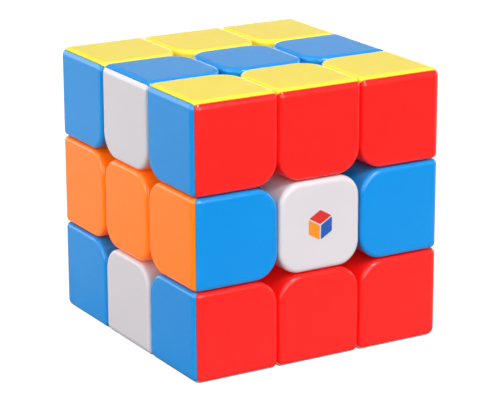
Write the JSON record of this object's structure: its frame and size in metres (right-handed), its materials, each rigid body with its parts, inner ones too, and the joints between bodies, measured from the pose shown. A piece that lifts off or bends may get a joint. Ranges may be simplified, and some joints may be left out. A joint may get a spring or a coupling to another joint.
{
  "type": "twisty puzzle cube",
  "caption": "Stickerless twisty puzzle cube: coloured corners and edges held by feet under spring-loaded centres on a screwed core, so every face layer turns.",
  "frame": {"origin": "the middle of the cube, where all the turning axes meet", "axes": "+Z out of the top face, -Y out of the front face, +X out of the right face"},
  "size_m": [0.056, 0.056, 0.056],
  "materials": {
    "red_plastic": "red ABS, coloured through, satin to gloss",
    "orange_plastic": "orange ABS, coloured through, satin to gloss",
    "blue_plastic": "blue ABS, coloured through, satin to gloss",
    "green_plastic": "green ABS, coloured through, satin to gloss",
    "yellow_plastic": "yellow ABS, coloured through, satin to gloss",
    "white_plastic": "white ABS, coloured through, satin to gloss",
    "core_plastic": "black nylon or ABS, matte, self-lubricating",
    "steel": "zinc-plated steel"
  },
  "bodies": {
    "core": {"core": "core_plastic", "front_screw": "steel", "back_screw": "steel", "left_screw": "steel", "right_screw": "steel", "top_screw": "steel", "bottom_screw": "steel"},
    "front_hub": {"front_washer": "steel", "front_spring": "steel"},
    "front_centre": {"front_centre": "white_plastic"},
    "front_cap": {"front_cap": "white_plastic"},
    "back_hub": {"back_washer": "steel", "back_spring": "steel"},
    "back_centre": {"back_centre": "yellow_plastic"},
    "back_cap": {"back_cap": "yellow_plastic"},
    "left_hub": {"left_washer": "steel", "left_spring": "steel"},
    "left_centre": {"left_centre": "orange_plastic"},
    "left_cap": {"left_cap": "orange_plastic"},
    "right_hub": {"right_washer": "steel", "right_spring": "steel"},
    "right_centre": {"right_centre": "red_plastic"},
    "right_cap": {"right_cap": "red_plastic"},
    "top_hub": {"top_washer": "steel", "top_spring": "steel"},
    "top_centre": {"top_centre": "blue_plastic"},
    "top_cap": {"top_cap": "blue_plastic"},
    "bottom_hub": {"bottom_washer": "steel", "bottom_spring": "steel"},
    "bottom_centre": {"bottom_centre": "green_plastic"},
    "bottom_cap": {"bottom_cap": "green_plastic"},
    "front_top_edge": {"front_top_edge": "yellow_plastic"},
    "front_bottom_edge": {"front_bottom_edge": "red_plastic"},
    "back_top_edge": {"back_top_edge": "yellow_plastic"},
    "back_bottom_edge": {"back_bottom_edge": "orange_plastic"},
    "front_left_edge": {"front_left_edge": "blue_plastic"},
    "front_right_edge": {"front_right_edge": "red_plastic"},
    "back_left_edge": {"back_left_edge": "orange_plastic"},
    "back_right_edge": {"back_right_edge": "green_plastic"},
    "top_left_edge": {"top_left_edge": "white_plastic"},
    "top_right_edge": {"top_right_edge": "yellow_plastic"},
    "bottom_left_edge": {"bottom_left_edge": "white_plastic"},
    "bottom_right_edge": {"bottom_right_edge": "yellow_plastic"},
    "front_top_left_corner": {"front_top_left_corner": "yellow_plastic", "front_top_left_foot": "core_plastic"},
    "front_top_right_corner": {"front_top_right_corner": "yellow_plastic", "front_top_right_foot": "core_plastic"},
    "front_bottom_left_corner": {"front_bottom_left_corner": "white_plastic", "front_bottom_left_foot": "core_plastic"},
    "front_bottom_right_corner": {"front_bottom_right_corner": "white_plastic", "front_bottom_right_foot": "core_plastic"},
    "back_top_left_corner": {"back_top_left_corner": "yellow_plastic", "back_top_left_foot": "core_plastic"},
    "back_top_right_corner": {"back_top_right_corner": "yellow_plastic", "back_top_right_foot": "core_plastic"},
    "back_bottom_left_corner": {"back_bottom_left_corner": "white_plastic", "back_bottom_left_foot": "core_plastic"},
    "back_bottom_right_corner": {"back_bottom_right_corner": "white_plastic", "back_bottom_right_foot": "core_plastic"}
  },
  "joints": [
    {"name": "front_turn", "type": "hinge", "parent": "core", "child": "front_hub", "pos_m": [0, 0, 0], "axis": [0, 1, 0], "continuous": true},
    {"name": "back_turn", "type": "hinge", "parent": "core", "child": "back_hub", "pos_m": [0, 0, 0], "axis": [0, 1, 0], "continuous": true},
    {"name": "left_turn", "type": "hinge", "parent": "core", "child": "left_hub", "pos_m": [0, 0, 0], "axis": [1, 0, 0], "continuous": true},
    {"name": "right_turn", "type": "hinge", "parent": "core", "child": "right_hub", "pos_m": [0, 0, 0], "axis": [1, 0, 0], "continuous": true},
    {"name": "top_turn", "type": "hinge", "parent": "core", "child": "top_hub", "pos_m": [0, 0, 0], "axis": [0, 0, 1], "continuous": true},
    {"name": "bottom_turn", "type": "hinge", "parent": "core", "child": "bottom_hub", "pos_m": [0, 0, 0], "axis": [0, 0, 1], "continuous": true},
    {"name": "front_centre_float", "type": "slide", "parent": "front_hub", "child": "front_centre", "axis": [0, -1, 0], "range_m": [0, 0.0006], "stiffness_N_per_m": 400, "springref_m": -0.001},
    {"name": "front_cap_lift", "type": "slide", "parent": "front_centre", "child": "front_cap", "axis": [0, -1, 0], "range_m": [0, 0.01]},
    {"name": "back_centre_float", "type": "slide", "parent": "back_hub", "child": "back_centre", "axis": [0, 1, 0], "range_m": [0, 0.0006], "stiffness_N_per_m": 400, "springref_m": -0.001},
    {"name": "back_cap_lift", "type": "slide", "parent": "back_centre", "child": "back_cap", "axis": [0, 1, 0], "range_m": [0, 0.01]},
    {"name": "left_centre_float", "type": "slide", "parent": "left_hub", "child": "left_centre", "axis": [-1, 0, 0], "range_m": [0, 0.0006], "stiffness_N_per_m": 400, "springref_m": -0.001},
    {"name": "left_cap_lift", "type": "slide", "parent": "left_centre", "child": "left_cap", "axis": [-1, 0, 0], "range_m": [0, 0.01]},
    {"name": "right_centre_float", "type": "slide", "parent": "right_hub", "child": "right_centre", "axis": [1, 0, 0], "range_m": [0, 0.0006], "stiffness_N_per_m": 400, "springref_m": -0.001},
    {"name": "right_cap_lift", "type": "slide", "parent": "right_centre", "child": "right_cap", "axis": [1, 0, 0], "range_m": [0, 0.01]},
    {"name": "top_centre_float", "type": "slide", "parent": "top_hub", "child": "top_centre", "axis": [0, 0, 1], "range_m": [0, 0.0006], "stiffness_N_per_m": 400, "springref_m": -0.001},
    {"name": "top_cap_lift", "type": "slide", "parent": "top_centre", "child": "top_cap", "axis": [0, 0, 1], "range_m": [0, 0.01]},
    {"name": "bottom_centre_float", "type": "slide", "parent": "bottom_hub", "child": "bottom_centre", "axis": [0, 0, -1], "range_m": [0, 0.0006], "stiffness_N_per_m": 400, "springref_m": -0.001},
    {"name": "bottom_cap_lift", "type": "slide", "parent": "bottom_centre", "child": "bottom_cap", "axis": [0, 0, -1], "range_m": [0, 0.01]},
    {"name": "front_top_edge_in_top_turn", "type": "hinge", "parent": "front_hub", "child": "front_top_edge", "pos_m": [0, 0, 0], "axis": [0, 0, 1], "continuous": true},
    {"name": "front_bottom_edge_in_bottom_turn", "type": "hinge", "parent": "front_hub", "child": "front_bottom_edge", "pos_m": [0, 0, 0], "axis": [0, 0, 1], "continuous": true},
    {"name": "back_top_edge_in_top_turn", "type": "hinge", "parent": "back_hub", "child": "back_top_edge", "pos_m": [0, 0, 0], "axis": [0, 0, 1], "continuous": true},
    {"name": "back_bottom_edge_in_bottom_turn", "type": "hinge", "parent": "back_hub", "child": "back_bottom_edge", "pos_m": [0, 0, 0], "axis": [0, 0, 1], "continuous": true},
    {"name": "front_left_edge_in_front_turn", "type": "hinge", "parent": "left_hub", "child": "front_left_edge", "pos_m": [0, 0, 0], "axis": [0, 1, 0], "continuous": true},
    {"name": "front_right_edge_in_front_turn", "type": "hinge", "parent": "right_hub", "child": "front_right_edge", "pos_m": [0, 0, 0], "axis": [0, 1, 0], "continuous": true},
    {"name": "back_left_edge_in_back_turn", "type": "hinge", "parent": "left_hub", "child": "back_left_edge", "pos_m": [0, 0, 0], "axis": [0, 1, 0], "continuous": true},
    {"name": "back_right_edge_in_back_turn", "type": "hinge", "parent": "right_hub", "child": "back_right_edge", "pos_m": [0, 0, 0], "axis": [0, 1, 0], "continuous": true},
    {"name": "top_left_edge_in_left_turn", "type": "hinge", "parent": "top_hub", "child": "top_left_edge", "pos_m": [0, 0, 0], "axis": [1, 0, 0], "continuous": true},
    {"name": "top_right_edge_in_right_turn", "type": "hinge", "parent": "top_hub", "child": "top_right_edge", "pos_m": [0, 0, 0], "axis": [1, 0, 0], "continuous": true},
    {"name": "bottom_left_edge_in_left_turn", "type": "hinge", "parent": "bottom_hub", "child": "bottom_left_edge", "pos_m": [0, 0, 0], "axis": [1, 0, 0], "continuous": true},
    {"name": "bottom_right_edge_in_right_turn", "type": "hinge", "parent": "bottom_hub", "child": "bottom_right_edge", "pos_m": [0, 0, 0], "axis": [1, 0, 0], "continuous": true},
    {"name": "front_top_left_corner_in_left_turn", "type": "hinge", "parent": "front_top_edge", "child": "front_top_left_corner", "pos_m": [0, 0, 0], "axis": [1, 0, 0], "continuous": true},
    {"name": "front_top_right_corner_in_right_turn", "type": "hinge", "parent": "front_top_edge", "child": "front_top_right_corner", "pos_m": [0, 0, 0], "axis": [1, 0, 0], "continuous": true},
    {"name": "front_bottom_left_corner_in_left_turn", "type": "hinge", "parent": "front_bottom_edge", "child": "front_bottom_left_corner", "pos_m": [0, 0, 0], "axis": [1, 0, 0], "continuous": true},
    {"name": "front_bottom_right_corner_in_right_turn", "type": "hinge", "parent": "front_bottom_edge", "child": "front_bottom_right_corner", "pos_m": [0, 0, 0], "axis": [1, 0, 0], "continuous": true},
    {"name": "back_top_left_corner_in_left_turn", "type": "hinge", "parent": "back_top_edge", "child": "back_top_left_corner", "pos_m": [0, 0, 0], "axis": [1, 0, 0], "continuous": true},
    {"name": "back_top_right_corner_in_right_turn", "type": "hinge", "parent": "back_top_edge", "child": "back_top_right_corner", "pos_m": [0, 0, 0], "axis": [1, 0, 0], "continuous": true},
    {"name": "back_bottom_left_corner_in_left_turn", "type": "hinge", "parent": "back_bottom_edge", "child": "back_bottom_left_corner", "pos_m": [0, 0, 0], "axis": [1, 0, 0], "continuous": true},
    {"name": "back_bottom_right_corner_in_right_turn", "type": "hinge", "parent": "back_bottom_edge", "child": "back_bottom_right_corner", "pos_m": [0, 0, 0], "axis": [1, 0, 0], "continuous": true}
  ],
  "couplings": [
    {"joint": "front_top_edge_in_top_turn", "follows": "top_turn", "ratio": 1},
    {"joint": "front_bottom_edge_in_bottom_turn", "follows": "bottom_turn", "ratio": 1},
    {"joint": "back_top_edge_in_top_turn", "follows": "top_turn", "ratio": 1},
    {"joint": "back_bottom_edge_in_bottom_turn", "follows": "bottom_turn", "ratio": 1},
    {"joint": "front_left_edge_in_front_turn", "follows": "front_turn", "ratio": 1},
    {"joint": "front_right_edge_in_front_turn", "follows": "front_turn", "ratio": 1},
    {"joint": "back_left_edge_in_back_turn", "follows": "back_turn", "ratio": 1},
    {"joint": "back_right_edge_in_back_turn", "follows": "back_turn", "ratio": 1},
    {"joint": "top_left_edge_in_left_turn", "follows": "left_turn", "ratio": 1},
    {"joint": "top_right_edge_in_right_turn", "follows": "right_turn", "ratio": 1},
    {"joint": "bottom_left_edge_in_left_turn", "follows": "left_turn", "ratio": 1},
    {"joint": "bottom_right_edge_in_right_turn", "follows": "right_turn", "ratio": 1},
    {"joint": "front_top_left_corner_in_left_turn", "follows": "left_turn", "ratio": 1},
    {"joint": "front_top_right_corner_in_right_turn", "follows": "right_turn", "ratio": 1},
    {"joint": "front_bottom_left_corner_in_left_turn", "follows": "left_turn", "ratio": 1},
    {"joint": "front_bottom_right_corner_in_right_turn", "follows": "right_turn", "ratio": 1},
    {"joint": "back_top_left_corner_in_left_turn", "follows": "left_turn", "ratio": 1},
    {"joint": "back_top_right_corner_in_right_turn", "follows": "right_turn", "ratio": 1},
    {"joint": "back_bottom_left_corner_in_left_turn", "follows": "left_turn", "ratio": 1},
    {"joint": "back_bottom_right_corner_in_right_turn", "follows": "right_turn", "ratio": 1}
  ]
}
